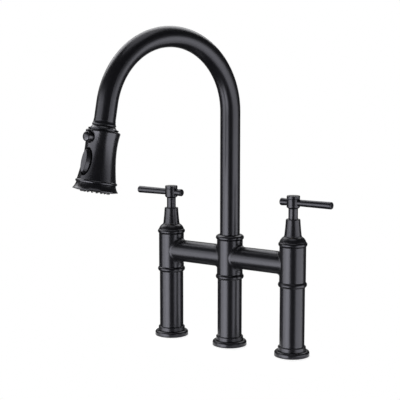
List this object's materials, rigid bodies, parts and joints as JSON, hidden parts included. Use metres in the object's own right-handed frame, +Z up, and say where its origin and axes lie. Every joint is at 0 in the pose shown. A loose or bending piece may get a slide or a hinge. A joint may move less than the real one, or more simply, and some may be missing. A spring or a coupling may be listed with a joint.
{
  "type": "bridge kitchen faucet",
  "caption": "Bridge kitchen faucet on upright legs, with cross-bar handles, a high gooseneck spout that swivels, and a pull-down spray head with a push button and a rocker.",
  "frame": {"origin": "where the axis of the centre leg meets the deck", "axes": "+Z up along the legs, +X along the bridge to the right handle, -Y towards the person at the sink"},
  "size_m": [0.3208, 0.2639, 0.4419],
  "materials": {
    "black_metal": "satin matte black",
    "brass": "machined",
    "steel": "brushed",
    "ceramic": "ground ceramic",
    "black_rubber": "matte",
    "nozzle_rubber": "matte",
    "white_plastic": "matte",
    "black_plastic": "satin matte black",
    "inner_plastic": "matte",
    "hose_nylon": "braided nylon"
  },
  "bodies": {
    "frame": {"left_deck_flange": "black_metal", "left_leg_tube": "black_metal", "left_leg_ring": "black_metal", "centre_deck_flange": "black_metal", "centre_leg_tube": "black_metal", "centre_leg_ring": "black_metal", "right_deck_flange": "black_metal", "right_leg_tube": "black_metal", "right_leg_ring": "black_metal", "left_inlet_tube": "brass", "right_inlet_tube": "brass", "centre_shank": "brass", "deck_gaskets": "black_rubber", "left_valve_body": "black_metal", "right_valve_body": "black_metal", "centre_body": "black_metal", "left_bridge_tube": "black_metal", "right_bridge_tube": "black_metal", "bridge_waterways": "brass", "left_bonnet": "black_metal", "left_cartridge_body": "brass", "right_bonnet": "black_metal", "right_cartridge_body": "brass", "fixed_discs": "ceramic", "seat_seals": "black_rubber", "cartridge_nuts": "brass", "spout_collar": "black_metal", "spout_bushing": "white_plastic", "spout_o_rings": "black_rubber", "mixed_outlet_pipe": "brass"},
    "left_handle": {"left_valve_stem": "brass", "left_moving_disc": "ceramic", "left_handle_cone": "black_metal", "left_handle_post": "black_metal", "left_hub_cap": "black_metal", "left_lever_bar": "black_metal", "left_lever_knob": "black_metal", "left_set_screw": "steel"},
    "right_handle": {"right_valve_stem": "brass", "right_moving_disc": "ceramic", "right_handle_cone": "black_metal", "right_handle_post": "black_metal", "right_hub_cap": "black_metal", "right_lever_bar": "black_metal", "right_lever_knob": "black_metal", "right_set_screw": "steel"},
    "spout": {"gooseneck": "black_metal", "neck_collar": "black_metal", "dock_guide": "white_plastic"},
    "spray_head": {"spray_hose": "hose_nylon", "spray_head_shell": "black_plastic", "spray_waterway": "inner_plastic", "spray_bezel": "black_plastic", "spray_plate": "black_plastic", "nozzle_pad": "nozzle_rubber", "aerator": "white_plastic", "spray_button_spring": "steel", "spray_rocker_pin": "steel"},
    "push_button": {"spray_button": "black_plastic"},
    "rocker": {"spray_rocker": "black_plastic"}
  },
  "joints": [
    {"name": "left_handle_turn", "type": "hinge", "parent": "frame", "child": "left_handle", "pos_m": [-0.1016, 0, 0.163], "axis": [0, 0, 1], "range_deg": [0, 90]},
    {"name": "right_handle_turn", "type": "hinge", "parent": "frame", "child": "right_handle", "pos_m": [0.1016, 0, 0.163], "axis": [0, 0, 1], "range_deg": [-90, 0]},
    {"name": "spout_swivel", "type": "hinge", "parent": "frame", "child": "spout", "pos_m": [0, 0, 0.142], "axis": [0, 0, 1], "range_deg": [-180, 180]},
    {"name": "spray_pull", "type": "slide", "parent": "spout", "child": "spray_head", "axis": [-0.0501, -0.1681, -0.9845], "range_m": [0, 0.2], "deforming": ["spray_hose"]},
    {"name": "spray_button_press", "type": "slide", "parent": "spray_head", "child": "push_button", "axis": [0.1279, 0.9765, -0.1732], "range_m": [0, 0.0016], "stiffness_N_per_m": 500, "springref_m": -0.002, "deforming": ["spray_button_spring"]},
    {"name": "spray_rocker_tilt", "type": "hinge", "parent": "spray_head", "child": "rocker", "pos_m": [-0.06311, -0.21937, 0.27073], "axis": [0.9905, -0.1346, -0.0274], "range_deg": [-3.5, 3.5]}
  ]
}
